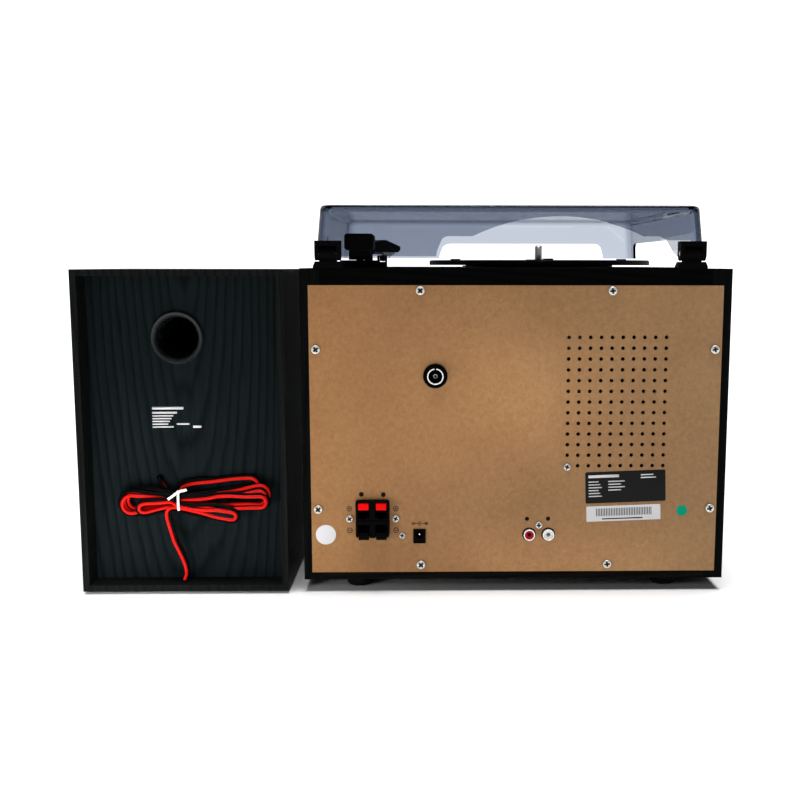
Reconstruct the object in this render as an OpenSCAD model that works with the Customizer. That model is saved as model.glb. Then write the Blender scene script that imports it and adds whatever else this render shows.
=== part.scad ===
// Stereo music centre: a wooden cabinet with a record deck under a smoked cover,
// and one bookshelf speaker beside it with its tied speaker wire.
// The front faces -Y, the sockets face +Y and everything stands on z = 0.

/* [Cabinet] */
// Width of the main cabinet
cab_w = 330; // [320:1:340]
// Depth of the main cabinet
cab_d = 300; // [290:1:310]
// Height of the wooden box, without its feet
cab_h = 243; // [238:1:250]
// Height of the feet
foot_h = 10; // [8:1:14]
// Thickness of the side and bottom boards
board_t = 15; // [12:1:16]
// Thickness of the top board
top_t = 22; // [20:1:24]
// Thickness of the hardboard back
panel_t = 3; // [2.5:0.5:4]
// Height of wood left showing above the back panel
rim_top = 12.5; // [11:0.5:13]

/* [Back panel] */
// Columns of vent holes
vent_cols = 10; // [6:1:10]
// Rows of vent holes
vent_rows = 13; // [8:1:13]
// Distance between vent holes
vent_pitch = 8.35; // [8:0.05:8.4]
// Radius of a vent hole
vent_r = 1.5; // [1:0.1:1.8]

/* [Record deck] */
// Radius of the platter
platter_r = 98.5; // [90:0.5:99]
// Radius of the record spindle
spindle_r = 3.575; // [3.5:0.005:3.6]
// Radius of the drive ring under the platter
ring_r = 66; // [60:1:68]
// Radius of the motor pulley
pulley_r = 5; // [4:0.5:6]
// Length of the arm from its pivot to the stylus
arm_l = 200; // [195:1:204]

/* [Dust cover] */
// Width of the cover at its lower edge
cover_w = 297; // [290:1:300]
// Depth of the cover at its lower edge
cover_d = 279.5; // [276:0.5:281]
// Height of the cover's walls
cover_h = 38.8; // [36:0.2:40]
// How far each wall leans in from bottom to top
cover_lean = 3.4; // [2:0.2:4]
// Thickness of the clear plastic
cover_t = 2.4; // [2:0.1:3]

/* [Speaker] */
// Width of the speaker
spk_w = 160; // [156:1:166]
// Height of the speaker without its pads
spk_h = 250; // [246:1:254]
// Depth of the speaker
spk_d = 150; // [140:1:170]
// Gap between the speaker and the main cabinet
spk_gap = 12; // [10:1:30]
// How far the speaker's back board sits inside its rim
recess = 20; // [20:1:24]

/* [Speaker wire] */
// Number of loops in the tied hank
hank_loops = 5; // [5:1:5]
// Thickness of the wire as it is modelled here
wire_d = 2.2; // [2:0.1:2.3]
// Distance between neighbouring layers of the hank
hank_pitch = 3; // [2.9:0.05:3.1]

/* [Hidden] */
$fn = 48;
jack_out = 3.2;                 // the line-out shells stand this far out of the panel
tab_out = 6.4;                  // the speaker levers stand furthest out at the back
knob_out = 12.9;                // the knobs stand furthest out at the front
all_w = cab_w + spk_gap + spk_w;
back_y = (cab_d + knob_out + tab_out) / 2 - tab_out;
front_y = back_y - cab_d;
left_x = -all_w / 2;            // outer face of the side board away from the speaker
right_x = left_x + cab_w;
cab_x = left_x + cab_w / 2;
deck_z = foot_h + cab_h;        // upper face of the top board
rim = 6;                        // side board left showing beside the panels
rim_low = 5.5;
front_t = 4;
fit = 0.3;                      // gap round panels set into a rebate
panel_w = cab_w - 2 * rim - 2 * fit;
panel_z0 = foot_h + rim_low + fit;
panel_z1 = deck_z - rim_top - fit;
panel_h = panel_z1 - panel_z0;

screw_r = 1.45;
pilot_r = 1.5;
// Places of the back panel's screws as [x, z]
panel_screws = [for (s = [-1, 1], z = [deck_z - 16.9, foot_h + 11.6]) [cab_x + 73.4 * s, z],
                for (s = [-1, 1], z = [deck_z - 61.7, foot_h + 56.4]) [cab_x + 153.4 * s, z]];
vent_x = cab_x - 40.6;          // first hole of the grid, on the speaker's side
vent_z = deck_z - 52.4;
board_screw = [vent_x, vent_z - 12 * vent_pitch - 0.9];

term_x = cab_x + 111; term_z = 59.2; term_w = 26; term_h = 29.2;
lever_x = [term_x - 6.85, term_x + 6.85];
lever_z = [68.3, 46.7];
lever_w = 8;
lever_in = 4;                   // depth of a lever's pivot inside the panel's face
ant_x = cab_x + 62; ant_z = 171;
dc_x = cab_x + 74.5; dc_z = 44.7;
line_x = cab_x - 19.1; line_z = 45.8; line_pitch = 15;

spin_x = cab_x - 32.3; spin_d = 150;            // record spindle
motor_x = spin_x + 60.8; motor_d = spin_d + 60.8;
well_r = 95; well_z = -7;
arm_x = cab_x + 122; arm_d = 48;                // tonearm pivot
arm_h = 20.5;                                   // height of the arm's axle above the deck
cue_x = arm_x - 17; cue_d = 66; cue_h = 8;
switch_x = arm_x - 2; switch_d = 262;

cover_x = cab_x + 4.3;
cover_back = 3.5;               // depth of the cover's rear wall at its lower edge
cover_z = deck_z + 9;
hinge_x = [cover_x - 138, cover_x + 138.8];
hinge_w = 19.6; hinge_h = 11.2;     // width of a hinge block, height of its pin
hinge_d = 1.6;                  // depth of the pin behind the back face
barrel_r = 5.4; ear_r = 4.9; ear_w = 13;
block_top = 20.6; block_in = 7.4;   // the block's top and inner face, from deck and back

knob_z = 105;
knob_x = [cab_x - 112, cab_x + 112];
knob_r = 25;
drawer_w = 136; drawer_h = 9; drawer_l = 138; drawer_z = 196;
button_z = 46;
button_x = [cab_x - 36, cab_x, cab_x + 36];

spk_x = right_x + spk_gap + spk_w / 2;
pad_h = 2;
spk_back = back_y + 3.5;        // the speaker stands this little behind the cabinet's back
spk_front = spk_back - spk_d;
spk_wall = 9; spk_rim = 5;
board_y = spk_back - recess;    // outer face of the speaker's back board
port_x = spk_x + 5.5; port_z = 199.4;

// The hank: where it is tied, and how far its layers stand off the back board
tie_x = spk_x + 9.5; tie_z = 71;
layer_y = board_y + 4.4;
waist = 3.4;
loop_rings = 24;
long_rings = 13;
// One row a loop: for its long lobe the length, end radius, rise and two bows,
// then the same five for its short lobe
loops = [[67, 7.5, 9.8, 0.3, 1.2, 30, 6.5, -1, 1.2, 0.8],
         [75, 8, 4.7, 1.3, 1.1, 36, 7.5, 0, 1.2, 0.7],
         [72, 5.5, 3.6, 1.1, 1, 41, 9, 1.3, 1.1, 0.45],
         [74, 5.6, 1.2, 0.9, 1.2, 34, 8, 3, 1, 0.6],
         [51.5, 4.4, -9.4, 0.5, 1.1]];
// The wire from its exit in the board to the first loop, as x from the tie, y from the
// board and z from the tie
lead = [[13, 0, 17.5], [13, 2.4, 17.5], [12.6, 4, 16.9], [11.2, 4.4, 14.6],
        [8.4, 4.4, 10], [5, 4.4, 6], [2.4, 4.4, 4.1]];
// The wire from the last loop down to its free end, in the same way
tail = [[1.6, 16.4, -3.8], [3.2, 16.4, -5], [3.6, 16.2, -7.4], [3.4, 15.8, -10.5],
        [2.6, 15.2, -15], [1, 14.4, -21], [-1.6, 13.4, -29], [-4, 12.2, -37], [-6, 11, -45],
        [-7.6, 10.2, -52], [-8.2, 9.8, -57], [-7.6, 9.6, -60.6], [-6.4, 9.6, -62.4]];

function yb(d) = back_y - d;    // a depth behind the back face as a y

module round_rect(w, h, r) {
    square([w - 2 * r, h], center = true);
    square([w, h - 2 * r], center = true);
    for (x = [-1, 1], y = [-1, 1]) translate([x * (w / 2 - r), y * (h / 2 - r)]) circle(r);
}

// Local z points out of the back, local x stays x
module on_back(x, z, out = 0) translate([x, back_y + out, z]) rotate([-90, 0, 0]) children();
// Local z points out of the front, local y is up
module on_front(x, z, out = 0) translate([x, front_y - out, z]) rotate([90, 0, 0]) children();
module on_deck(x, d, h = 0) translate([x, yb(d), deck_z + h]) children();
module block(x, y, z) translate([x[0], y[0], z[0]]) cube([x[1] - x[0], y[1] - y[0], z[1] - z[0]]);

// ---------------------------------------------------------------- cabinet

module panel_pilots() for (p = panel_screws) on_back(p[0], p[1], -14) cylinder(h = 15, r = pilot_r);

module side_board(side) {
    outer = cab_x + side * cab_w / 2;
    inner = outer - side * board_t;
    step = outer - side * rim;
    x0 = min(inner, step) - (side > 0 ? 1 : 0);
    difference() {
        block([min(outer, inner), max(outer, inner)], [front_y, back_y], [foot_h, deck_z]);
        for (y = [[front_y - 1, front_y + front_t], [back_y - panel_t, back_y + 1]])
            block([x0, x0 + board_t - rim + 1], y, [foot_h + rim_low, deck_z - rim_top]);
        panel_pilots();
    }
}
module side_board_left() color("#1c1b1a") side_board(-1);
module side_board_right() color("#1c1b1a") side_board(1);

module top_board() color("#1f1d1b") difference() {
    block([left_x + board_t, right_x - board_t], [front_y, back_y], [deck_z - top_t, deck_z]);
    for (y = [[front_y - 1, front_y + front_t], [back_y - panel_t, back_y + 1]])
        block([left_x, right_x], y, [deck_z - top_t - 1, deck_z - rim_top]);
    block([cab_x - 140, cab_x + 140], [yb(278), yb(24)], [deck_z - top_t - 1, deck_z + 1]);
    panel_pilots();
}

module bottom_board() color("#1f1d1b") difference() {
    block([left_x + board_t, right_x - board_t], [front_y, back_y], [foot_h, foot_h + board_t]);
    for (y = [[front_y - 1, front_y + front_t], [back_y - panel_t, back_y + 1]])
        block([left_x, right_x], y, [foot_h + rim_low, foot_h + board_t + 1]);
    panel_pilots();
}

module back_panel() color("#b08a5e") difference() {
    on_back(cab_x, (panel_z0 + panel_z1) / 2, -panel_t) linear_extrude(panel_t)
        square([panel_w, panel_h], center = true);
    for (p = panel_screws) on_back(p[0], p[1], -5) cylinder(h = 8, r = 1.8);
    for (i = [0:vent_cols - 1], j = [0:vent_rows - 1]) if (i > 0 || j < vent_rows - 1)
        on_back(vent_x - i * vent_pitch, vent_z - j * vent_pitch, -5) cylinder(h = 8, r = vent_r, $fn = 24);
    for (p = concat([board_screw], socket_screws())) on_back(p[0], p[1], -5) cylinder(h = 8, r = 1.4);
    on_back(term_x, term_z, -5) linear_extrude(8) round_rect(term_w + 0.5, term_h + 0.5, 2);
    on_back(ant_x, ant_z, -5) cylinder(h = 8, r = 7.6);
    on_back(dc_x, dc_z, -5) linear_extrude(8) square([9.8, 11.7], center = true);
    for (s = [-1, 1]) on_back(line_x + s * line_pitch / 2, line_z, -5) cylinder(h = 8, r = 5.4);
}

// Screws of the speaker terminal, of the power socket's bracket and of the line-out holder
function socket_screws() = [[term_x + 18, term_z - 0.4], [term_x - 18, term_z - 0.4],
    [dc_x + 13.5, dc_z + 0.6], [line_x, line_z + 7.4]];

module screw(r, head_r, length) {
    rotate_extrude() polygon([[0, 1.9], [head_r * 0.55, 1.75], [head_r * 0.88, 1.1], [head_r, 0.4],
        [head_r, 0], [r, 0], [r, -length + 2], [0, -length]]);
}
module rear_screws() color("#c9c6bf") {
    for (p = panel_screws) on_back(p[0], p[1]) screw(screw_r, 3.5, 12);
    on_back(board_screw[0], board_screw[1]) screw(1.3, 2.9, 8);
    for (p = socket_screws()) on_back(p[0], p[1]) screw(1.3, p[1] > 50 ? 2.9 : 2.6, 9);
}

module cabinet_feet() color("#151515") for (x = [-123, 123], d = [24, cab_d - 24])
    translate([cab_x + x, yb(d), 0]) rotate_extrude()
        polygon([[0, 0], [9, 0], [10, 1], [11, foot_h], [0, foot_h]]);

// ---------------------------------------------------------------- front (not in the photograph)

module front_panel() color("#202022") difference() {
    on_front(cab_x, (panel_z0 + panel_z1) / 2, -front_t) linear_extrude(front_t)
        square([panel_w, panel_h], center = true);
    on_front(cab_x, 130, -2) linear_extrude(4) round_rect(132, 60, 4);
    on_front(cab_x, 130, -6) linear_extrude(8) round_rect(124, 52, 3);
    on_front(cab_x, drawer_z, -6) linear_extrude(8) square([drawer_w + 2, drawer_h + 5], center = true);
    for (x = knob_x) on_front(x, knob_z, -6) cylinder(h = 8, r = 3.6);
    for (x = button_x) on_front(x, button_z, -6) linear_extrude(8) round_rect(20.8, 8.8, 2.4);
}
module display_window() color("#0c1016") on_front(cab_x, 130, -2) {
    linear_extrude(1.8) round_rect(131.6, 59.6, 3.8);
    translate([0, 0, -2]) linear_extrude(2) round_rect(123.6, 51.6, 2.8);
}

module knob() difference() {
    union() {
        rotate_extrude($fn = 96) polygon([[0, 1.2], [knob_r, 1.2], [knob_r, 3.2], [knob_r - 2.2, 4.2],
            [knob_r - 3.4, knob_out - 1.4], [knob_r - 4.8, knob_out], [12, knob_out],
            [9, knob_out - 1], [0, knob_out - 1]]);
        translate([0, 0, -12]) cylinder(h = 14, r = 3);
    }
    for (a = [0:10:350]) rotate([0, 0, a]) translate([knob_r - 1.6, 0, 4]) cylinder(h = 20, r = 0.8, $fn = 16);
    translate([0, knob_r - 8, knob_out - 1]) linear_extrude(2) round_rect(1.6, 7, 0.7);
}
module volume_knob() color("#b9babd") on_front(knob_x[1], knob_z) knob();
module tuning_knob() color("#b9babd") on_front(knob_x[0], knob_z) knob();

module push_button(x) on_front(x, button_z) {
    translate([0, 0, -6]) linear_extrude(8.4) round_rect(20, 8, 2);
    translate([0, 0, -7.4]) linear_extrude(1.4) round_rect(23, 11, 2);
}
module button_source() color("#b9babd") push_button(button_x[0]);
module button_play() color("#b9babd") push_button(button_x[1]);
module button_power() color("#b9babd") push_button(button_x[2]);

// The drawer: a front, a tray with the two disc steps, and the opening for the pick-up
module cd_drawer() color("#26262a") {
    on_front(cab_x, drawer_z) translate([0, 0, 0.3]) linear_extrude(3) round_rect(drawer_w + 8, drawer_h + 9, 2);
    difference() {
        block([cab_x - drawer_w / 2, cab_x + drawer_w / 2], [front_y - 0.3, front_y + drawer_l],
            [drawer_z - 4, drawer_z + 2]);
        translate([cab_x, front_y + 66, drawer_z - 1]) cylinder(h = 9, r = 60.4, $fn = 96);
        translate([cab_x, front_y + 66, drawer_z - 2]) cylinder(h = 9, r = 40.6, $fn = 72);
        block([cab_x - 16, cab_x + 16], [front_y + 42, front_y + drawer_l + 1], [drawer_z - 9, drawer_z + 9]);
    }
}
module cd_mechanism() color("#8c8f92") difference() {
    block([cab_x - 76, cab_x + 76], [front_y + front_t, front_y + 158], [drawer_z - 18, drawer_z + 9]);
    block([cab_x - drawer_w / 2 - 0.6, cab_x + drawer_w / 2 + 0.6], [front_y, front_y + 154],
        [drawer_z - 4.6, drawer_z + 6.6]);
    block([cab_x - 60, cab_x + 60], [front_y + 20, front_y + 150], [drawer_z - 16, drawer_z]);
}

// ---------------------------------------------------------------- sockets

module lever_pocket(z, dir) for (x = lever_x)
    on_back(x, z, -12) translate([-lever_w / 2 - 0.5, dir > 0 ? -4.2 : -8, 0]) cube([lever_w + 1, 12.2, 20]);
module speaker_terminal() color("#17181a") {
    difference() {
        union() {
            on_back(term_x, term_z - 0.4, -panel_t - 2.2) linear_extrude(2.2)
                square([term_w + 18, 9], center = true);
            on_back(term_x, term_z, -16) linear_extrude(21) round_rect(term_w, term_h, 2);
        }
        lever_pocket(lever_z[0], 1);
        lever_pocket(lever_z[1], -1);
        for (x = lever_x, z = [60.6, 54.2]) on_back(x, z, -10) linear_extrude(18) round_rect(4.4, 2.2, 1);
        for (s = [-1, 1]) on_back(term_x + s * 18, term_z - 0.4, -9) cylinder(h = 9, r = 1.4);
        on_back(term_x, term_z - 0.7, 4.3) linear_extrude(3) square([term_w + 2, 0.7], center = true);
    }
    for (z = lever_z) translate([term_x - term_w / 2 + 3, back_y - lever_in, z]) rotate([0, 90, 0])
        cylinder(h = term_w - 6, r = 1);
}
// A lever: an arm on its pivot with a thumb tab, seen from the side; dir -1 turns it upside down
module lever(x, z, dir) translate([x - lever_w / 2, back_y, z]) rotate([90, 0, 90])
    linear_extrude(lever_w) scale([1, dir]) difference() {
        union() {
            translate([-lever_in, 0]) circle(2.3);
            polygon([[-lever_in, -2.3], [1.5, -2.6], [5.6, -1.4], [tab_out, 0.2], [6.2, 3], [4.4, 3.9],
                [1.4, 3.9], [0.6, 2.25], [-lever_in, 2.25]]);
        }
        translate([-lever_in, 0]) circle(1.06);
    }
module lever_red_inner() color("#d4141c") lever(lever_x[0], lever_z[0], 1);
module lever_red_outer() color("#d4141c") lever(lever_x[1], lever_z[0], 1);
module lever_black_inner() color("#1b1b1d") lever(lever_x[0], lever_z[1], -1);
module lever_black_outer() color("#1b1b1d") lever(lever_x[1], lever_z[1], -1);

module antenna_socket() color("#141414") on_back(ant_x, ant_z) difference() {
    union() {
        cylinder(h = 1.8, r = 9.4);
        translate([0, 0, -12]) cylinder(h = 17, r = 7.4);
    }
    translate([0, 0, -4]) difference() {
        cylinder(h = 12, r = 6.3);
        cylinder(h = 9, r = 2.6);
    }
    translate([0, 0, -3]) cylinder(h = 12, r = 1.7, $fn = 32);
}
module antenna_contacts() color("#d8d8d4") on_back(ant_x, ant_z) {
    translate([0, 0, -4]) difference() {
        cylinder(h = 10, r = 6.25);
        translate([0, 0, -1]) cylinder(h = 14, r = 5.4);
        translate([-0.8, -8, 1.5]) cube([1.6, 5, 12]);
    }
    translate([0, 0, -3]) difference() {
        cylinder(h = 5.4, r = 1.65, $fn = 32);
        translate([0, 0, 1]) cylinder(h = 9, r = 1.15, $fn = 32);
    }
}
module dc_socket() color("#1a1a1b") on_back(dc_x, dc_z) difference() {
    union() {
        translate([0, 0, -10]) linear_extrude(11) round_rect(9.4, 11.3, 0.8);
        translate([0, 0, -4]) linear_extrude(1) square([14, 15], center = true);
    }
    translate([0, -1.4, -9]) cylinder(h = 12, r = 3.15);
}
module dc_pin() color("#c8c8c4") on_back(dc_x, dc_z) translate([0, -1.4, -9])
    rotate_extrude($fn = 32) polygon([[0, 0], [1, 0], [1, 8], [0.6, 8.8], [0, 8.8]]);
module line_out_holder() color("#161616") on_back(line_x, line_z, -panel_t - 10) difference() {
    union() {
        translate([0, -1.5, 0]) linear_extrude(10) round_rect(30, 20, 1.5);
        for (s = [-1, 1]) translate([s * line_pitch / 2, 0, 9]) cylinder(h = panel_t + 1.3, r = 5.3);
    }
    for (s = [-1, 1]) translate([s * line_pitch / 2, 0, 4]) cylinder(h = 12, r = 4.2);
    translate([0, -7.4, 1]) cylinder(h = 12, r = 1.35);
}
module line_out_shells() color("#dcdcd8") for (s = [-1, 1])
    on_back(line_x + s * line_pitch / 2, line_z, -panel_t - 6) difference() {
        union() {
            cylinder(h = 6.3 + panel_t, r = 4.15);
            translate([0, 0, 6.3 + panel_t]) cylinder(h = jack_out - 0.3, r = 4.4);
        }
        translate([0, 0, 2]) cylinder(h = 30, r = 3.65);
    }
module line_out_insert(s) on_back(line_x + s * line_pitch / 2, line_z, -panel_t - 4) difference() {
    cylinder(h = 4 + panel_t + jack_out - 1, r = 3.6);
    translate([0, 0, 2]) cylinder(h = 30, r = 1.6, $fn = 32);
}
module line_out_insert_red() color("#b3171b") line_out_insert(1);
module line_out_insert_white() color("#f2f2ee") line_out_insert(-1);

// The main board, and the control board that stands behind the knobs and buttons
module circuit_boards() color("#2d6b3a") {
    block([cab_x - 60, cab_x + 130], [yb(130), yb(16.5)], [33, 34.6]);
    block([cab_x + 20, cab_x + 60], [yb(98), yb(80)], [34.6, 62]);
    for (i = [0:3]) translate([cab_x - 30 + 16 * i, yb(60), 34.6]) cylinder(h = 22, r = 6.5);
    for (i = [0:2]) block([cab_x - 40 + 40 * i, cab_x - 22 + 40 * i], [yb(118), yb(106)], [34.6, 38]);
    difference() {
        union() {
            block([cab_x - 130, cab_x + 130], [front_y + 14, front_y + 15.6], [foot_h + board_t, 150]);
            for (x = knob_x) on_front(x, knob_z, -14) cylinder(h = 7, r = 8.5);
            for (x = button_x) on_front(x, button_z, -14) linear_extrude(4.6) square([12, 7], center = true);
        }
        for (x = knob_x) on_front(x, knob_z, -12.4) cylinder(h = 12, r = 3.06);
    }
}
module board_spacers() color("#bdbdb8") for (x = [cab_x - 54, cab_x + 124], d = [24, 122])
    translate([x, yb(d), foot_h + board_t]) cylinder(h = 33 - foot_h - board_t, r = 3.5);

// ---------------------------------------------------------------- record deck

module turntable_deck() color("#161617") difference() {
    union() {
        block([cab_x - 148, cab_x + 148], [yb(286), yb(16)], [deck_z, deck_z + 0.8]);
        block([cab_x - 139.7, cab_x + 139.7], [yb(277.7), yb(24.3)], [deck_z - 2, deck_z + 0.4]);
        on_deck(spin_x, spin_d, well_z - 2) cylinder(h = 2 - well_z, r = well_r + 2, $fn = 96);
        for (x = [cab_x - 136, cab_x + 133]) block([x, x + 3], [yb(270), yb(32)], [deck_z - 14, deck_z]);
        for (d = [30, 270]) block([cab_x - 130, cab_x + 130], [yb(d + 3), yb(d)], [deck_z - 14, deck_z]);
    }
    on_deck(spin_x, spin_d, well_z) cylinder(h = 20, r = well_r, $fn = 96);
    on_deck(spin_x, spin_d, well_z - 3) cylinder(h = 9, r = spindle_r + 0.03);
    on_deck(motor_x, motor_d, well_z - 3) cylinder(h = 9, r = 3);
    on_deck(arm_x, arm_d, -20) cylinder(h = 30, r = 5);
    on_deck(switch_x, switch_d, -5) cube([5.4, 20, 20], center = true);
    on_deck(switch_x, switch_d, -8.2) cube([9, 24, 12], center = true);
}
module spindle() color("#e4e4e0") on_deck(spin_x, spin_d, well_z - 6) {
    rotate_extrude() polygon([[0, 0], [spindle_r + 3, 0], [spindle_r + 3, 4], [spindle_r, 4],
        [spindle_r, 20.2], [spindle_r - 0.2, 20.4], [spindle_r - 0.2, 20.8], [spindle_r, 21],
        [spindle_r, 31.6], [spindle_r * 0.8, 32.6], [spindle_r * 0.45, 33.2], [0, 33.4]]);
}
module platter() color("#1d1d1f") on_deck(spin_x, spin_d) rotate_extrude($fn = 128) {
    bore = spindle_r + 0.06;
    polygon([[bore, -4], [bore, 7.4], [8, 7.4], [8, 6.7], [platter_r - 1, 6.7], [platter_r, 5.7],
        [platter_r, 3], [platter_r - 0.6, 2.4], [platter_r - 3, 2.4], [platter_r - 3, 4.4], [ring_r, 4.4],
        [ring_r, -3.6], [ring_r - 3, -3.6], [ring_r - 3, 4.4], [9, 4.4], [9, -4]]);
}
module platter_pads() color("#101010") on_deck(spin_x, spin_d, 6.7) for (a = [0:90:270]) rotate([0, 0, a])
    translate([75, 0, 0]) cylinder(h = 1.3, r = 4.5);
module motor() color("#a9a9a6") on_deck(motor_x, motor_d, well_z - 2) {
    translate([0, 0, -20]) cylinder(h = 20, r = 16);
    cylinder(h = 2, r = 2.9);
    cylinder(h = 8, r = 1);
}
module motor_pulley() color("#c9a24a") on_deck(motor_x, motor_d) difference() {
    rotate_extrude() polygon([[0, -4.6], [pulley_r + 1.2, -4.6], [pulley_r + 1.2, -4], [pulley_r, -3.4],
        [pulley_r, 0.8], [pulley_r + 1.2, 1.4], [pulley_r + 1.2, 2], [0, 2]]);
    translate([0, 0, -6]) cylinder(h = 12, r = 1.05);
}
// An open belt round two circles: straight runs on their outer tangents
module belt_outline(grow) hull() {
    circle(ring_r + 0.3 + grow, $fn = 96);
    translate([motor_x - spin_x, -(motor_d - spin_d)]) circle(pulley_r + 0.3 + grow, $fn = 32);
}
module drive_belt() color("#0d0d0d") on_deck(spin_x, spin_d, -3) linear_extrude(3.4) difference() {
    belt_outline(1);
    belt_outline(0);
}

// The arm's fixed base, with the ear that carries the cue lever
module tonearm_base() color("#1b1b1c") difference() {
    union() {
        on_deck(arm_x, arm_d, 0.8) cylinder(h = 5.4, r = 16);
        on_deck(arm_x, arm_d, -10) cylinder(h = 11, r = 4.9);
        block([cue_x - 4, cue_x + 8], [yb(cue_d + 4), yb(arm_d)], [deck_z + 0.8, deck_z + 5]);
        for (s = [-1, 1]) translate([cue_x + 3.2 * s - 0.8, yb(cue_d + 3), deck_z + 0.8]) cube([1.6, 6, cue_h + 1.4]);
    }
    on_deck(arm_x, arm_d, -11) cylinder(h = 20, r = 3.06);
    translate([cue_x - 6, yb(cue_d), deck_z + cue_h]) rotate([0, 90, 0]) cylinder(h = 12, r = 1.06, $fn = 32);
}
// The swivel: a column on a shaft, with a hood closed behind and open to the front
module arm_swivel() color("#1c1c1e") {
    on_deck(arm_x, arm_d, -9) cylinder(h = 16, r = 3);
    on_deck(arm_x, arm_d, 6.5) cylinder(h = 7.5, r = 9);
    difference() {
        translate([arm_x, yb(arm_d - 12), deck_z + arm_h]) rotate([90, 0, 0]) linear_extrude(27)
            round_rect(23, 13, 2.4);
        translate([arm_x - 9, yb(arm_d + 20), deck_z + arm_h - 4.5]) cube([18, 29, 9]);
        translate([arm_x - 20, yb(arm_d), deck_z + arm_h]) rotate([0, 90, 0]) cylinder(h = 40, r = 1.5, $fn = 32);
    }
}
// The arm: a hub with its axle, a tube, and a headshell turned in towards the record
module at_headshell() translate([arm_x, yb(arm_d + arm_l - 38), deck_z + arm_h]) rotate([0, 0, -25]) children();
module tonearm() color("#222224") {
    translate([arm_x - 8, yb(arm_d), deck_z + arm_h]) rotate([0, 90, 0]) cylinder(h = 16, r = 3.9);
    translate([arm_x - 11.2, yb(arm_d), deck_z + arm_h]) rotate([0, 90, 0]) cylinder(h = 22.4, r = 1.46, $fn = 32);
    translate([arm_x, yb(arm_d + 3), deck_z + arm_h]) rotate([90, 0, 0]) cylinder(h = arm_l - 40, r = 3.4);
    at_headshell() difference() {
        rotate([90, 0, -90]) translate([0, 0, -8]) linear_extrude(16)
            polygon([[-4, -3.6], [8, -5.4], [42, -5.4], [47, -2.4], [46, 0.6], [16, 6.2], [2, 4.6], [-4, 3.6]]);
        translate([-6.6, -42, -8]) cube([13.2, 36, 8]);
    }
    at_headshell() translate([7, -43, 0.4]) cube([9, 4, 1.2]);
}
module cartridge() color("#7f8184") at_headshell() {
    translate([-6, -38, -7.6]) cube([12, 24, 7.6]);
    translate([-2.2, -40, -9.6]) cube([4.4, 14, 2.2]);
    translate([0, -38, -11.2]) cylinder(h = 2, r1 = 0.3, r2 = 0.8, $fn = 16);
}
module arm_rest() color("#1b1b1c") on_deck(arm_x, arm_d + 118) {
    translate([0, 0, 0.8]) cylinder(h = 2, r = 8);
    translate([0, 0, 2]) cylinder(h = arm_h - 9, r = 4);
    translate([-6, -4, arm_h - 7.6]) cube([12, 8, 3.6]);
    translate([4.2, -4, arm_h - 7.6]) cube([2, 8, 10]);
}
module cue_lever() color("#1b1b1c") translate([cue_x, yb(cue_d), deck_z + cue_h]) {
    difference() {
        translate([-2.1, 0, 0]) rotate([0, 90, 0]) cylinder(h = 4.2, r = 2.4, $fn = 32);
        translate([-3, 0, 0]) rotate([0, 90, 0]) cylinder(h = 6, r = 1.06, $fn = 32);
    }
    translate([0, -1.8, 0]) rotate([90, 0, 0]) cylinder(h = 22, r = 1.6, $fn = 32);
    translate([0, -24, 0]) sphere(2.6, $fn = 32);
}
module speed_switch() color("#1b1b1c") on_deck(switch_x, switch_d) {
    translate([-2.4, -2.4, -4]) cube([4.8, 4.8, 5]);
    translate([-4, -3, 1.1]) cube([8, 6, 3]);
    translate([-4, -3, -6]) cube([8, 6, 2]);
}

// ---------------------------------------------------------------- dust cover

module cover_slab(z, inset, t = 0.02) translate([0, 0, z]) linear_extrude(t) {
    r = 6;
    w = cover_w - 2 * inset; d = cover_d - 2 * inset;
    for (x = [-1, 1], y = [-1, 1]) translate([x * (w / 2 - r), y * (d / 2 - r)]) circle(r, $fn = 32);
}
module cover_hull(inset, top) hull() {
    cover_slab(inset > 0 ? -1 : 0, inset);
    cover_slab(top - 3, inset + cover_lean * 0.92);
    cover_slab(top - 0.9, inset + cover_lean + 0.7);
    cover_slab(top, inset + cover_lean + 2.6);
}
cover_mid_y = back_y - cover_back - cover_d / 2;
// Cut-outs of the rear wall: the record's clearance is one arc above a low flat opening
module rear_cut() {
    translate([spin_x, cover_z + 30.3 - 152]) intersection() {
        circle(152, $fn = 180);
        translate([-66.4, 120]) square([132.8, 60]);
    }
    x0 = hinge_x[0]; x1 = cover_x + 58;
    polygon([[x0, cover_z - 5], [x0, cover_z + 12.4], [x0 + 16, cover_z + 12.4], [x0 + 20, cover_z + 13.6],
        [x0 + 23, cover_z + 15.2], [x1 - 9.2, cover_z + 15.2], [x1 - 5.6, cover_z + 13.4],
        [x1 - 1.8, cover_z + 4.6], [x1, cover_z - 5]]);
}
module front_cut(x0, x1) polygon([[x0, -5], [x0 + 1, 4], [x0 + 3, 11], [x0 + 6, 14], [x0 + 10, 15],
    [x1 - 12, 15], [x1 - 8, 14], [x1 - 4.6, 11], [x1 - 2, 4], [x1, -5]]);
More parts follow.
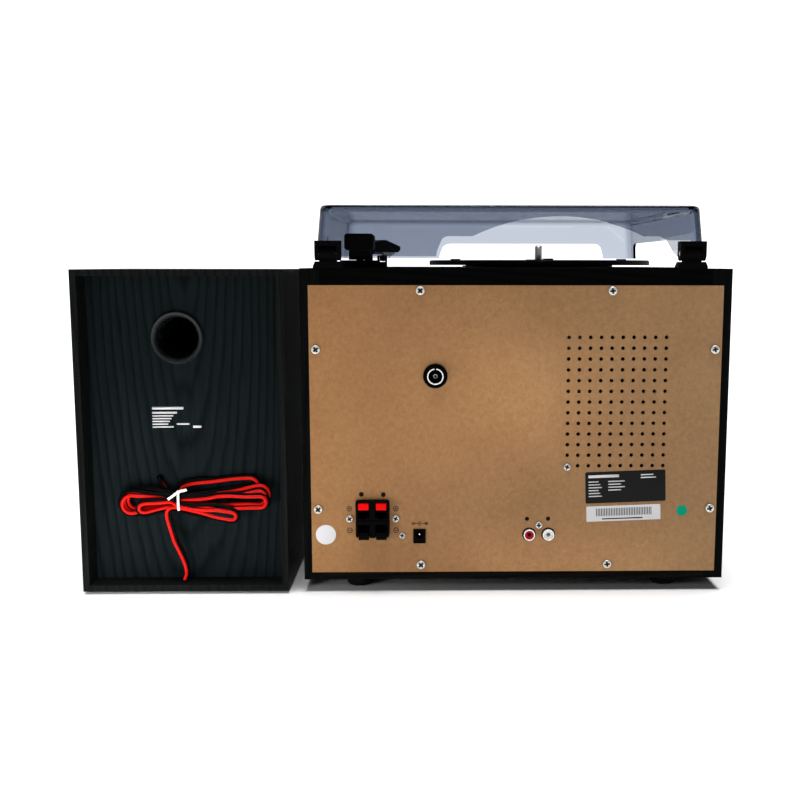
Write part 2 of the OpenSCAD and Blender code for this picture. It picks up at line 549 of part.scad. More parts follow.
// The side opening falls off towards the back in one long curve
module side_cut() polygon([[-267, -5], [-266, 4], [-264.4, 11], [-261, 14], [-256, 15], [-118, 15],
    [-112, 13.2], [-106, 10], [-98, 6], [-92, 3.8], [-87, 2.3], [-80, 0.8], [-73, -0.2], [-72, -5]]);
module dust_cover() color("#5b5f6e", 0.4) difference() {
    translate([cover_x, cover_mid_y, cover_z]) difference() {
        cover_hull(0, cover_h);
        cover_hull(cover_t, cover_h - cover_t);
    }
    translate([0, cover_mid_y + cover_d / 2 + 5, 0]) rotate([90, 0, 0]) linear_extrude(30) rear_cut();
    translate([0, cover_mid_y - cover_d / 2 + 15, cover_z]) rotate([90, 0, 0]) linear_extrude(30)
        front_cut(spin_x - 81.4, spin_x + 89.6);
    translate([cover_x - cover_w / 2 - 10, back_y, cover_z]) rotate([90, 0, 90]) linear_extrude(30) side_cut();
    for (s = [-1, 1]) block([hinge_x[0.5 + 0.5 * s] - (s < 0 ? 20 : hinge_w / 2 + 0.1),
        hinge_x[0.5 + 0.5 * s] + (s > 0 ? 20 : hinge_w / 2 + 0.1)],
        [yb(block_in + 0.1), yb(-9)], [deck_z, deck_z + block_top + 0.1]);
}

// A hinge block fills the cover's lower rear corner; its two cheeks hold the pin
module cover_hinge() difference() {
    union() {
        translate([-hinge_w / 2, 0, 0]) rotate([0, 90, 0]) cylinder(h = hinge_w, r = barrel_r);
        translate([-hinge_w / 2, hinge_d - block_in, 0])
            cube([hinge_w, block_in - hinge_d + barrel_r, block_top - hinge_h]);
    }
    translate([-ear_w / 2 - 0.4, -9, -9]) cube([ear_w + 0.8, 20, 9 + barrel_r]);
    translate([-20, 0, 0]) rotate([0, 90, 0]) cylinder(h = 40, r = 2.02, $fn = 32);
}
module at_hinges() for (x = hinge_x) translate([x, yb(hinge_d), deck_z + hinge_h]) children();
module cover_hinges() color("#161617") at_hinges() cover_hinge();
module hinge_pins() color("#c8c8c4") at_hinges() translate([-hinge_w / 2 + 0.2, 0, 0]) rotate([0, 90, 0])
    cylinder(h = hinge_w - 0.4, r = 2, $fn = 32);
module hinge_bases() color("#161617") at_hinges() difference() {
    union() {
        translate([0, ear_r, -hinge_h]) rotate([90, 0, 0]) linear_extrude(13)
            polygon([[-11.2, 0], [11.2, 0], [11.2, 1.4], [9.6, 5.1], [-9.6, 5.1], [-11.2, 1.4]]);
        translate([-ear_w / 2, 0, 0]) rotate([0, 90, 0]) cylinder(h = ear_w, r = ear_r);
        translate([-ear_w / 2, -ear_r, -hinge_h + 4]) cube([ear_w, 2 * ear_r - 1.2, hinge_h - 4]);
    }
    translate([-20, 0, 0]) rotate([0, 90, 0]) cylinder(h = 40, r = 2.06, $fn = 32);
}

// ---------------------------------------------------------------- speaker

spk_z0 = pad_h; spk_z1 = pad_h + spk_h;
baffle_y = spk_front + 12;
module speaker_cabinet() color("#191818") difference() {
    block([spk_x - spk_w / 2, spk_x + spk_w / 2], [spk_front, spk_back], [spk_z0, spk_z1]);
    block([spk_x - spk_w / 2 + spk_wall, spk_x + spk_w / 2 - spk_wall], [spk_front - 1, spk_back + 1],
        [spk_z0 + spk_wall, spk_z1 - spk_wall]);
    for (y = [[board_y - 6, spk_back + 1], [spk_front - 1, baffle_y]])
        block([spk_x - spk_w / 2 + spk_rim, spk_x + spk_w / 2 - spk_rim], y,
            [spk_z0 + spk_rim, spk_z1 - spk_rim]);
}
module speaker_back_board() color("#1b1a19") difference() {
    block([spk_x - spk_w / 2 + spk_rim + 0.1, spk_x + spk_w / 2 - spk_rim - 0.1], [board_y - 6, board_y],
        [spk_z0 + spk_rim + 0.1, spk_z1 - spk_rim - 0.1]);
    translate([port_x, board_y + 1, port_z]) rotate([90, 0, 0]) cylinder(h = 12, r = 18.2);
    translate([tie_x + 13, board_y + 1, tie_z + 17.5]) rotate([90, 0, 0]) cylinder(h = 12, r = 2.6, $fn = 32);
}
module speaker_baffle() color("#1b1a19") difference() {
    block([spk_x - spk_w / 2 + spk_wall + 0.1, spk_x + spk_w / 2 - spk_wall - 0.1], [baffle_y, baffle_y + 12],
        [spk_z0 + spk_wall + 0.1, spk_z1 - spk_wall - 0.1]);
    translate([spk_x, baffle_y - 1, 95]) rotate([-90, 0, 0]) cylinder(h = 20, r = 47);
    translate([spk_x, baffle_y - 1, 196]) rotate([-90, 0, 0]) cylinder(h = 20, r = 22);
}
module speaker_grille() color("#121212") difference() {
    translate([spk_x, spk_front + 10, (spk_z0 + spk_z1) / 2]) rotate([90, 0, 0]) linear_extrude(10)
        round_rect(spk_w - 2 * spk_rim - 1, spk_h - 2 * spk_rim - 1, 3);
    translate([spk_x, spk_front + 11, (spk_z0 + spk_z1) / 2]) rotate([90, 0, 0]) linear_extrude(9)
        round_rect(spk_w - 2 * spk_rim - 15, spk_h - 2 * spk_rim - 15, 3);
}
// A driver seen from its face, with local z pointing out of the baffle
module on_baffle(z) translate([spk_x, baffle_y, z]) rotate([90, 0, 0]) children();
module woofer() color("#2a2a2c") on_baffle(95) {
    rotate_extrude($fn = 96) polygon([[0, -46], [28, -46], [28, -34], [32, -30], [46, -4], [46, 0], [52, 0],
        [52, 2.4], [47, 2.6], [44, 4.4], [41, 4.6], [38, 2.4], [16, -14], [12, -11], [6, -8.6], [0, -8]]);
}
module tweeter() color("#2a2a2c") on_baffle(196) rotate_extrude($fn = 72)
    polygon([[0, -22], [18, -22], [18, -6], [21, -5], [21, 0], [27, 0], [27, 2.2], [20, 2.2], [14, -1.4],
        [11.5, -1.4], [8, 1.2], [0, 2.6]]);
module bass_port() color("#141416") translate([port_x, board_y, port_z]) rotate([-90, 0, 0]) difference() {
    rotate_extrude($fn = 96) polygon([[16, -80], [18, -80], [18, 0], [20.8, 0], [20.8, 1.2], [19.6, 2.6],
        [17.8, 2.4], [16.6, 1], [16, -2]]);
}
module speaker_pads() color("#101010") for (x = [-1, 1], y = [spk_front + 18, spk_back - 18])
    translate([spk_x + x * (spk_w / 2 - 24), y, 0]) translate([0, 0, pad_h / 2])
        cube([40, 14, pad_h], center = true);

// ---------------------------------------------------------------- speaker wire

function ease(t) = t <= 0 ? 0 : t >= 1 ? 1 : t * t * (3 - 2 * t);
// A lobe from the waist round its end and back, as t runs 0 to 1: its two strands take the
// outer thirds of t, and each spreads from the waist by its own bow
function lobe(t, l, r, rise, bow_out, bow_back) =
    let(a = 0.36, side = t < 0.5 ? 1 : -1, s = min(t, 1 - t) / a,
        k = s < 1 ? pow(s, t < 0.5 ? bow_out : bow_back) : 1,
        turn = 90 - 180 * (t - a) / (1 - 2 * a))
    s < 1 ? [(l - r) * s, side * waist * (1 - k) + (rise + side * r) * k]
          : [l - r + r * cos(turn), rise + r * sin(turn)];
// Loop k: the long lobe in one layer, then the short lobe climbing to the next
function loop_point(k, i) =
    let(q = loops[k], long = i < long_rings,
        t = long ? i / long_rings : (i - long_rings) / (loop_rings - long_rings),
        p = long ? lobe(t, q[0], q[1], q[2], q[3], q[4]) : lobe(t, q[5], q[6], q[7], q[8], q[9]))
    long ? [tie_x - p[0], layer_y + k * hank_pitch, tie_z + p[1]]
         : [tie_x + p[0], layer_y + (k + ease(t)) * hank_pitch, tie_z - p[1]];
function board_point(p) = [tie_x + p[0], board_y + p[1], tie_z + p[2]];
hank_path = concat([for (p = lead) board_point(p)],
    [for (k = [0:hank_loops - 1], i = [0:(k < hank_loops - 1 ? loop_rings : long_rings) - 1]) loop_point(k, i)],
    [[tie_x, layer_y + (hank_loops - 1) * hank_pitch, tie_z - waist]]);
tail_path = [for (p = tail) board_point(p)];

function unit(v) = v / norm(v);
// Ring normals carried along the path without twist
function along(path, i) = unit(path[min(i + 1, len(path) - 1)] - path[max(i - 1, 0)]);
function carried(n, t) = unit(n - (n * t) * t);
module tube(path, d, sides) {
    n = len(path);
    start = carried([0.1, 0.3, 1], along(path, 0));
    normals = [for (i = 0, v = start; i < n; i = i + 1, v = i < n ? carried(v, along(path, i)) : v) v];
    points = [for (i = [0:n - 1], k = [0:sides - 1]) let(a = 360 * k / sides, b = cross(along(path, i), normals[i]))
        path[i] + d / 2 * (cos(a) * normals[i] + sin(a) * b)];
    walls = [for (i = [0:n - 2], k = [0:sides - 1]) let(a = i * sides + k, b = i * sides + (k + 1) % sides)
        each [[a, b, b + sides], [a, b + sides, a + sides]]];
    caps = [[for (k = [sides - 1:-1:0]) k], [for (k = [0:sides - 1]) (n - 1) * sides + k]];
    polyhedron(points, [for (f = concat(walls, caps)) [for (j = [len(f) - 1:-1:0]) f[j]]]);
}
module wire_hank() color("#c4161c") tube(hank_path, wire_d, 6);
module wire_tail() color("#c4161c") tube(tail_path, wire_d, 8);
// The tie: a band round the waist, and two twisted ends
module rod(a, b, r) let(v = b - a) translate(a) rotate([0, acos(v[2] / norm(v)), atan2(v[1], v[0])])
    cylinder(h = norm(v), r = r);
module wire_tie() color("#e9e9e6") {
    difference() {
        block([tie_x - 2.2, tie_x], [board_y + 1.9, board_y + 18.9], [tie_z - 6.2, tie_z + 7.4]);
        block([tie_x - 3, tie_x + 1], [board_y + 2.8, board_y + 18], [tie_z - 5.3, tie_z + 6.5]);
    }
    rod(board_point([-0.4, 18.45, 6.6]), board_point([-8.6, 18.9, 11]), 0.8);
    rod(board_point([-2, 18.3, 7]), board_point([6.2, 18.9, 2.2]), 0.8);
}
// Least gap between turns, between points at least a third of a loop apart
gap = min([for (i = [0:len(hank_path) - 9], j = [i + 8:len(hank_path) - 1])
    norm(hank_path[i] - hank_path[j])]) - wire_d;
echo(least_gap_mm = gap);  // wire_hank

side_board_left();
side_board_right();
top_board();
bottom_board();
back_panel();
front_panel();
cabinet_feet();
rear_screws();
speaker_terminal();
lever_red_inner();
lever_red_outer();
lever_black_inner();
lever_black_outer();
antenna_socket();
antenna_contacts();
dc_socket();
dc_pin();
line_out_holder();
line_out_shells();
line_out_insert_red();
line_out_insert_white();
circuit_boards();
board_spacers();
motor();
motor_pulley();
drive_belt();
turntable_deck();
platter();
platter_pads();
spindle();
tonearm_base();
arm_swivel();
tonearm();
cartridge();
arm_rest();
cue_lever();
speed_switch();
dust_cover();
cover_hinges();
hinge_bases();
hinge_pins();
display_window();
cd_drawer();
cd_mechanism();
volume_knob();
tuning_knob();
button_power();
button_source();
button_play();
speaker_cabinet();
speaker_back_board();
speaker_baffle();
speaker_grille();
woofer();
tweeter();
bass_port();
speaker_pads();
wire_hank();
wire_tail();
wire_tie();
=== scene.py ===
# Stereo music centre seen from behind: a wood-foil cabinet with a record deck under
# a smoked cover, and one speaker with its tied wire. All places are in metres.
import math

import bmesh
import bpy
import numpy as np
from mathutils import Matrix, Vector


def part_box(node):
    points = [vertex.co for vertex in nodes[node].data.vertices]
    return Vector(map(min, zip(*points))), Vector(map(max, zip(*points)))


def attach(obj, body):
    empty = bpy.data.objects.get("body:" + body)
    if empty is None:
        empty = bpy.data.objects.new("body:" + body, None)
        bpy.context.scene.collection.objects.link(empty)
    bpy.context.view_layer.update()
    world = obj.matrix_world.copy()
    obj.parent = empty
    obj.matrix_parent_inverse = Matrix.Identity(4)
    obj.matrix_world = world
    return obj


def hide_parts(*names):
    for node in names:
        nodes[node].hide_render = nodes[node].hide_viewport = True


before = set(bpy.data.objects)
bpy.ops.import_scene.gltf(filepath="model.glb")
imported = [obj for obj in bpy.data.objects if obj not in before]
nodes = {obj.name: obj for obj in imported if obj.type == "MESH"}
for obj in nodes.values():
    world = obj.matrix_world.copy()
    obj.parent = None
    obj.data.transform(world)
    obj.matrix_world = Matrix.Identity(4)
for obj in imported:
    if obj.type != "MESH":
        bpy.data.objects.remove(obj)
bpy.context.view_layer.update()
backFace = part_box("back_panel")[1].y
print("frame loaded:", len(nodes), "CAD nodes")

# camera

cameraView = dict(place=(-0.01867, 0.93442, 0.25582), turn=(82.454, -0.068, 178.834),
                  lens=46.0, shiftX=-0.0615)


def makeCamera(spec):
    data = bpy.data.cameras.new("camera")
    camera = bpy.data.objects.new("camera", data)
    bpy.context.scene.collection.objects.link(camera)
    camera.location = spec["place"]
    camera.rotation_euler = [math.radians(a) for a in spec["turn"]]
    data.lens, data.shift_x = spec["lens"], spec["shiftX"]
    data.sensor_width = 36
    bpy.context.scene.camera = camera


makeCamera(cameraView)
bpy.context.scene.view_settings.view_transform = "Standard"

# mesh helpers


def gridFaces(rows, columns, start):
    # quads between neighbouring rows; the last column joins the first
    r, c = np.meshgrid(np.arange(rows - 1), np.arange(columns), indexing="ij")
    after = (c + 1) % columns
    quads = np.stack([r * columns + c, r * columns + after,
                      (r + 1) * columns + after, (r + 1) * columns + c], -1)
    return (start + quads.reshape(-1, 4)).tolist()


class Shell:
    # collects closed surfaces for one piece; each gets a material number
    def __init__(self):
        self.points, self.faces, self.slots, self.count = [], [], [], 0

    def addGrid(self, grid, slot=0, caps=True):
        # grid is rows of closed rings; both end rings are capped
        rows, columns = grid.shape[:2]
        faces = gridFaces(rows, columns, self.count)
        if caps:
            last = self.count + (rows - 1) * columns
            faces.append(list(range(self.count, self.count + columns))[::-1])
            faces.append(list(range(last, last + columns)))
        self.points.append(grid.reshape(-1, 3))
        self.faces += faces
        self.slots += [slot] * len(faces)
        self.count += rows * columns

    def makePiece(self, name, materials, body, replaces=(), smooth=True):
        mesh = bpy.data.meshes.new(name)
        mesh.from_pydata(np.concatenate(self.points).tolist(), [], self.faces)
        mesh.polygons.foreach_set("material_index", self.slots)
        mesh.polygons.foreach_set("use_smooth", [smooth] * len(self.faces))
        work = bmesh.new()
        work.from_mesh(mesh)
        bmesh.ops.remove_doubles(work, verts=work.verts, dist=1e-7)
        bmesh.ops.recalc_face_normals(work, faces=work.faces)
        work.to_mesh(mesh)
        work.free()
        for material in materials:
            mesh.materials.append(material)
        if smooth:
            mesh.set_sharp_from_angle(angle=math.radians(38))
        piece = bpy.data.objects.new(name, mesh)
        bpy.context.scene.collection.objects.link(piece)
        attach(piece, body)
        if replaces:
            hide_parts(*replaces)
        return piece


def smoothPath(points, step, softness):
    # even steps along the polyline, then each point averaged with its neighbours by a bell curve
    points = np.asarray(points, float)
    along = np.concatenate([[0], np.cumsum(np.linalg.norm(np.diff(points, axis=0), axis=1))])
    even = np.linspace(0, along[-1], int(along[-1] / step) + 1)
    path = np.stack([np.interp(even, along, points[:, i]) for i in range(3)], 1)
    reach = int(3 * softness / step)
    weights = np.exp(-0.5 * (np.arange(-reach, reach + 1) * step / softness) ** 2)
    weights /= weights.sum()
    before = 2 * path[0] - path[reach:0:-1]
    beyond = 2 * path[-1] - path[-2:-reach - 2:-1]
    padded = np.concatenate([before, path, beyond])
    return np.stack([np.convolve(padded[:, i], weights, "valid") for i in range(3)], 1)


def unitRows(v):
    # each row divided by its length
    return v / np.linalg.norm(v, axis=-1, keepdims=True)


def tubeRings(path, side, up, radius, sides):
    # a circle in the plane of side and up, carried along the path
    angle = np.arange(sides) * 2 * math.pi / sides
    radius = np.broadcast_to(radius, (len(path),))[:, None, None]
    return path[:, None] + radius * (np.cos(angle)[None, :, None] * side[:, None]
                                     + np.sin(angle)[None, :, None] * up[:, None])


def pathFrame(path, reference):
    # across and up directions along a path, the up one leaning towards the reference
    tangent = unitRows(np.gradient(path, axis=0))
    up = unitRows(reference - (reference * tangent).sum(1, keepdims=True) * tangent)
    return np.cross(tangent, up), up


def turned(profile, place, axis, turns):
    # a profile of (radius, height) rows turned about an axis that starts at place
    axis = unitRows(np.asarray(axis, float))
    first = unitRows(np.cross(axis, [0.3, 0.5, 0.8]))
    second = np.cross(axis, first)
    profile = np.asarray(profile, float)
    angle = np.arange(turns) * 2 * math.pi / turns
    ring = np.cos(angle)[:, None] * first + np.sin(angle)[:, None] * second
    return np.asarray(place) + profile[:, 0, None, None] * ring + profile[:, 1, None, None] * axis


# material helpers


def newMaterial(name, **values):
    # each value goes to the shader's socket of that name, with a space for each underscore
    material = bpy.data.materials.new(name)
    material.use_nodes = True
    shader = material.node_tree.nodes["Principled BSDF"]
    for label, value in values.items():
        shader.inputs[label.replace("_", " ")].default_value = value
    return material, material.node_tree, shader


def addNode(tree, kind, values=None, links=None, **settings):
    # values and links go by socket, settings are the node's own
    node = tree.nodes.new(kind)
    for key, value in settings.items():
        setattr(node, key, value)
    for key, value in (values or {}).items():
        node.inputs[key].default_value = value
    for key, socket in (links or {}).items():
        tree.links.new(socket, node.inputs[key])
    return node


def objectCoords(tree, scale=(1, 1, 1)):
    place = addNode(tree, "ShaderNodeTexCoord").outputs["Object"]
    return addNode(tree, "ShaderNodeMapping", {"Scale": scale}, {"Vector": place}).outputs["Vector"]


def ramp(tree, factor, stops):
    # a colour at each place from 0 to 1, blended evenly between them
    node = addNode(tree, "ShaderNodeValToRGB", links={"Fac": factor})
    band = node.color_ramp
    while len(band.elements) < len(stops):
        band.elements.new(0.5)
    for element, (place, colour) in zip(band.elements, stops):
        element.position, element.color = place, (*colour, 1)
    return node.outputs["Color"]


def noise(tree, coords, scale, detail=4, rough=0.55, warp=0.0):
    return addNode(tree, "ShaderNodeTexNoise", {"Scale": scale, "Detail": detail, "Roughness": rough,
                                                "Distortion": warp}, {"Vector": coords}).outputs["Fac"]


def bump(tree, shader, height, strength, distance, edge=0.0):
    # the surface tilts with the height's slope; edges look rounded by the radius in edge
    links = {"Height": height}
    if edge:
        links["Normal"] = addNode(tree, "ShaderNodeBevel", {"Radius": edge}, samples=6).outputs["Normal"]
    node = addNode(tree, "ShaderNodeBump", {"Strength": strength, "Distance": distance}, links)
    tree.links.new(node.outputs["Normal"], shader.inputs["Normal"])


def scaled(tree, factor, low, high):
    # 0 to 1 becomes low to high
    node = addNode(tree, "ShaderNodeMapRange", {"To Min": low, "To Max": high}, {"Value": factor})
    return node.outputs["Result"]


def combine(tree, how, a, b):
    # one sum, product or the like of two sockets or numbers
    node = addNode(tree, "ShaderNodeMath", operation=how)
    for socket, value in ((node.inputs[0], a), (node.inputs[1], b)):
        if isinstance(value, (int, float)):
            socket.default_value = value
        else:
            tree.links.new(value, socket)
    return node.outputs[0]


# finishes

foil = dict(spacing=0.0062, lengthwise=0.15, bends=[(22, 0.5, 0.016), (160, 0.6, 0.0035)],
            stretch=0.09, behind=0.13, roughness=(0.4, 0.62))


def blackFoil(name, along, tone, heart=(0.176, 0.31), gloss=0.02):
    # growth lines: distance from the heart, counted far less along the grain, is bent by noise and
    # cut into rings with one sharp edge each; fine stretched noise makes the pores
    material, tree, shader = newMaterial(name, Specular_IOR_Level=gloss)
    stretch = [1, 1, 1]
    stretch["xyz".index(along)] = foil["stretch"]
    place = objectCoords(tree, stretch)
    axes = addNode(tree, "ShaderNodeSeparateXYZ", links={"Vector": objectCoords(tree)}).outputs
    length, width = (axes["Z"], axes["X"]) if along == "z" else (axes["X"], axes["Z"])
    across = combine(tree, "SUBTRACT", combine(tree, "ADD", width, axes["Y"]), heart[0] + foil["behind"])
    lengthwise = combine(tree, "MULTIPLY", combine(tree, "SUBTRACT", length, heart[1]), foil["lengthwise"])
    reach = combine(tree, "SQRT", combine(tree, "ADD", combine(tree, "MULTIPLY", across, across),
                                          combine(tree, "MULTIPLY", lengthwise, lengthwise)), 0)
    for scale, rough, amount in foil["bends"]:
        bend = combine(tree, "MULTIPLY", noise(tree, place, scale, 2, rough), amount)
        reach = combine(tree, "ADD", reach, bend)
    ring = combine(tree, "FRACT", combine(tree, "DIVIDE", reach, foil["spacing"]), 0)
    line = ramp(tree, ring, [(0, (0.1,) * 3), (0.1, (0.25,) * 3), (0.3, (0.75,) * 3), (0.8, (1,) * 3),
                             (1, (0.15,) * 3)])
    pores = noise(tree, place, 1500, 3, 0.7)
    streaks = noise(tree, place, 240, 5, 0.65)
    level = combine(tree, "MULTIPLY", scaled(tree, line, 0.45, 1.15), scaled(tree, streaks, 0.5, 1.5))
    colour = addNode(tree, "ShaderNodeVectorMath", {0: tone}, operation="SCALE")
    tree.links.new(level, colour.inputs["Scale"])
    tree.links.new(colour.outputs["Vector"], shader.inputs["Base Color"])
    tree.links.new(scaled(tree, pores, *foil["roughness"]), shader.inputs["Roughness"])
    height = combine(tree, "ADD", combine(tree, "MULTIPLY", pores, 0.6), combine(tree, "MULTIPLY", line, 0.4))
    bump(tree, shader, height, 0.35, 0.0003, edge=0.0006)
    return material


# hardboard colours, with two painted pools of light and the painted warm and cool colour of the light
board = dict(dark=(0.25, 0.112, 0.035), mid=(0.385, 0.19, 0.066), pale=(0.51, 0.28, 0.112),
             pressed=0.73, paintedLightPools=[((-0.083, 0.15), (0.125, 0.095), 0.27),
                                    ((-0.14, 0.012), (0.17, 0.065), 0.37)],
             warmLight=(1.0, 0.92, 0.79), coolLight=(0.97, 1.05, 1.16), lightTintFrom=0.068, lightTintTo=-0.24)


def paintedLightPool(tree, centre, reach):
    # a painted pool of light: one at the centre, falling smoothly to nothing at an ellipse in x and z
    place = addNode(tree, "ShaderNodeMapping", {"Location": (-centre[0] / reach[0], 0, -centre[1] / reach[1]),
                                                "Scale": (1 / reach[0], 0, 1 / reach[1])},
                    {"Vector": addNode(tree, "ShaderNodeTexCoord").outputs["Object"]}).outputs["Vector"]
    away = addNode(tree, "ShaderNodeVectorMath", links={0: place}, operation="LENGTH").outputs["Value"]
    return addNode(tree, "ShaderNodeMapRange", {"To Min": 1.0, "To Max": 0.0}, {"Value": away},
                   interpolation_type="SMOOTHSTEP").outputs["Result"]


def brownHardboard():
    # pressed fibre: cloudy tone, short pale fibres, a faint mottle, two paler pools of painted light, over
    # the middle and along the bottom, and a painted colour of the light that goes from warm to cool across
    # the board
    material, tree, shader = newMaterial("brown hardboard", Roughness=0.62)
    place = objectCoords(tree)
    clouds = noise(tree, place, 14, 3, 0.5)
    mottle = noise(tree, place, 260, 4, 0.6, 0.6)
    fibre = noise(tree, objectCoords(tree, (1, 1, 0.3)), 1400, 2, 0.6, 1.5)
    tone = combine(tree, "ADD", combine(tree, "MULTIPLY", clouds, 0.3),
                   combine(tree, "MULTIPLY", mottle, 0.4))
    tone = combine(tree, "ADD", tone, combine(tree, "MULTIPLY", fibre, 0.3))
    colour = ramp(tree, tone, [(0.25, board["dark"]), (0.5, board["mid"]), (0.75, board["pale"])])
    level = board["pressed"]
    # painted light: the pools make the board paler over the middle and along the bottom
    for centre, reach, gain in board["paintedLightPools"]:
        level = combine(tree, "ADD", level, combine(tree, "MULTIPLY", paintedLightPool(tree, centre, reach), gain))
    # painted colour of the light: warm at high x, cool at low x
    across = addNode(tree, "ShaderNodeMapRange", {"From Min": board["lightTintFrom"], "From Max": board["lightTintTo"]},
                     {"Value": addNode(tree, "ShaderNodeSeparateXYZ", links={"Vector": place}).outputs["X"]})
    tint = ramp(tree, across.outputs["Result"], [(0, board["warmLight"]), (1, board["coolLight"])])
    lightCast = addNode(tree, "ShaderNodeVectorMath", links={0: colour, 1: tint}, operation="MULTIPLY")
    shade = addNode(tree, "ShaderNodeVectorMath", links={0: lightCast.outputs["Vector"], "Scale": level},
                    operation="SCALE")
    tree.links.new(shade.outputs["Vector"], shader.inputs["Base Color"])
    bump(tree, shader, fibre, 0.25, 0.0003)
    return material


def mouldedPlastic(name, colour, roughness, grain, gloss=0.04):
    # slow noise moves the roughness a little either way, and fine noise is the grain
    material, tree, shader = newMaterial(name, Base_Color=(*colour, 1), Specular_IOR_Level=gloss)
    place = objectCoords(tree)
    grit = noise(tree, place, 1800, 2, 0.5)
    tree.links.new(scaled(tree, noise(tree, place, 60, 3), roughness - 0.06, roughness + 0.06),
                   shader.inputs["Roughness"])
    bump(tree, shader, grit, grain, 0.0001, 0.0003)
    return material


def polishedMetal(name, colour, roughness=0.2, scratch=0.12):
    # noise drawn out across x and y adds up to scratch to the roughness
    material, tree, shader = newMaterial(name, Base_Color=(*colour, 1), Metallic=1.0)
    place = objectCoords(tree, (1, 1, 6))
    wear = noise(tree, place, 300, 5, 0.7)
    tree.links.new(scaled(tree, wear, roughness, roughness + scratch), shader.inputs["Roughness"])
    bump(tree, shader, wear, 0.1, 0.00005, 0.0002)
    return material


def metalWithPaintedShade(name, colour, dark, bright, roughness=0.35):
    # plated metal with painted shade: its colour goes to near black between two distances from the back face,
    # standing in for the shade in hollows and bores
    material, tree, shader = newMaterial(name, Metallic=0.6, Roughness=roughness)
    depth = addNode(tree, "ShaderNodeSeparateXYZ", links={"Vector": objectCoords(tree)}).outputs["Y"]
    paintedShade = addNode(tree, "ShaderNodeMapRange", {"From Min": backFace + dark, "From Max": backFace + bright},
                   {"Value": depth}).outputs["Result"]
    # the near-black end of the ramp is the painted shade
    tree.links.new(ramp(tree, paintedShade, [(0, (0.012, 0.011, 0.01)), (1, colour)]), shader.inputs["Base Color"])
    bump(tree, shader, noise(tree, objectCoords(tree), 900, 3), 0.12, 0.0001, 0.0002)
    return material


def blackRubber():
    # dull, with its grain from fine noise
    material, tree, shader = newMaterial("black rubber", Base_Color=(0.006, 0.006, 0.0065, 1),
                                         Roughness=0.75, Specular_IOR_Level=0.1)
    bump(tree, shader, noise(tree, objectCoords(tree), 700, 3), 0.5, 0.0002, 0.0006)
    return material


acrylic = dict(tint=(0.306, 0.366, 0.476), depth=500, roughness=0.01)


def smokedAcrylic():
    # clear surface over a tinted depth, so that edges seen lengthwise go nearly black
    material, tree, shader = newMaterial("smoked acrylic", Base_Color=(1, 1, 1, 1),
                                         Roughness=acrylic["roughness"], Transmission_Weight=1.0, IOR=1.49)
    volume = addNode(tree, "ShaderNodeVolumeAbsorption",
                     {"Color": (*acrylic["tint"], 1), "Density": acrylic["depth"]})
    tree.links.new(volume.outputs[0], tree.nodes["Material Output"].inputs["Volume"])
    return material


def grilleCloth():
    # two crossed sets of threads: the product of two waves
    material, tree, shader = newMaterial("grille cloth", Roughness=0.9)
    place = objectCoords(tree)
    over, under = [addNode(tree, "ShaderNodeTexWave", {"Scale": 160}, {"Vector": place},
                           bands_direction=way).outputs["Fac"] for way in "XZ"]
    weave = combine(tree, "MULTIPLY", over, under)
    tree.links.new(ramp(tree, weave, [(0, (0.003, 0.003, 0.0035)), (1, (0.022, 0.022, 0.024))]),
                   shader.inputs["Base Color"])
    bump(tree, shader, weave, 0.6, 0.0004)
    return material


def circuitBoard():
    # the distance to the nearest cell centre: pale pads at the centres, green between them
    material, tree, shader = newMaterial("circuit board", Roughness=0.35)
    tracks = addNode(tree, "ShaderNodeTexVoronoi", {"Scale": 160}, {"Vector": objectCoords(tree)},
                     distance="MANHATTAN").outputs["Distance"]
    colour = ramp(tree, tracks, [(0.1, (0.35, 0.3, 0.12)), (0.2, (0.01, 0.09, 0.03)),
                                 (1, (0.015, 0.13, 0.045))])
    tree.links.new(colour, shader.inputs["Base Color"])
    return material


foilUpright = blackFoil("cabinet foil upright", "z", (0.002, 0.0026, 0.0026), gloss=0.02)
foilLevel = blackFoil("cabinet foil level", "x", (0.0013, 0.0015, 0.0015), gloss=0.01)
foilBase = blackFoil("base foil", "x", (0.0042, 0.0038, 0.0026), gloss=0.02)
foilSpeaker = blackFoil("speaker foil", "z", (0.0052, 0.006, 0.0056), (0.3, 0.1), 0.04)
foilBoard = blackFoil("speaker board foil", "z", (0.0048, 0.0078, 0.0086), gloss=0.03)
hardboard = brownHardboard()
satinBlack = mouldedPlastic("satin black plastic", (0.0018, 0.0018, 0.002), 0.5, 0.3, gloss=0.015)
deckBlack = mouldedPlastic("deck black plastic", (0.0035, 0.0035, 0.0038), 0.5, 0.6)
portGrey = mouldedPlastic("port plastic", (0.0075, 0.0105, 0.011), 0.28, 0.1, gloss=0.35)
glossBlack = mouldedPlastic("gloss black plastic", (0.006, 0.006, 0.007), 0.16, 0.05)
frontBlack = mouldedPlastic("front panel black", (0.014, 0.014, 0.015), 0.38, 0.5)
leverRed = mouldedPlastic("lever red", (0.72, 0.002, 0.002), 0.3, 0.1)
socketRed = mouldedPlastic("socket red", (0.42, 0.012, 0.02), 0.3, 0.1)
plainWhite = mouldedPlastic("plain white plastic", (0.8, 0.8, 0.78), 0.3, 0.1)
brightSteel = polishedMetal("bright steel", (0.72, 0.71, 0.69))
# painted shade: the cross recess of each screw and the rim against the board go nearly black
screwZinc = metalWithPaintedShade("zinc screw", (0.74, 0.73, 0.68), 0.0006, 0.0014)
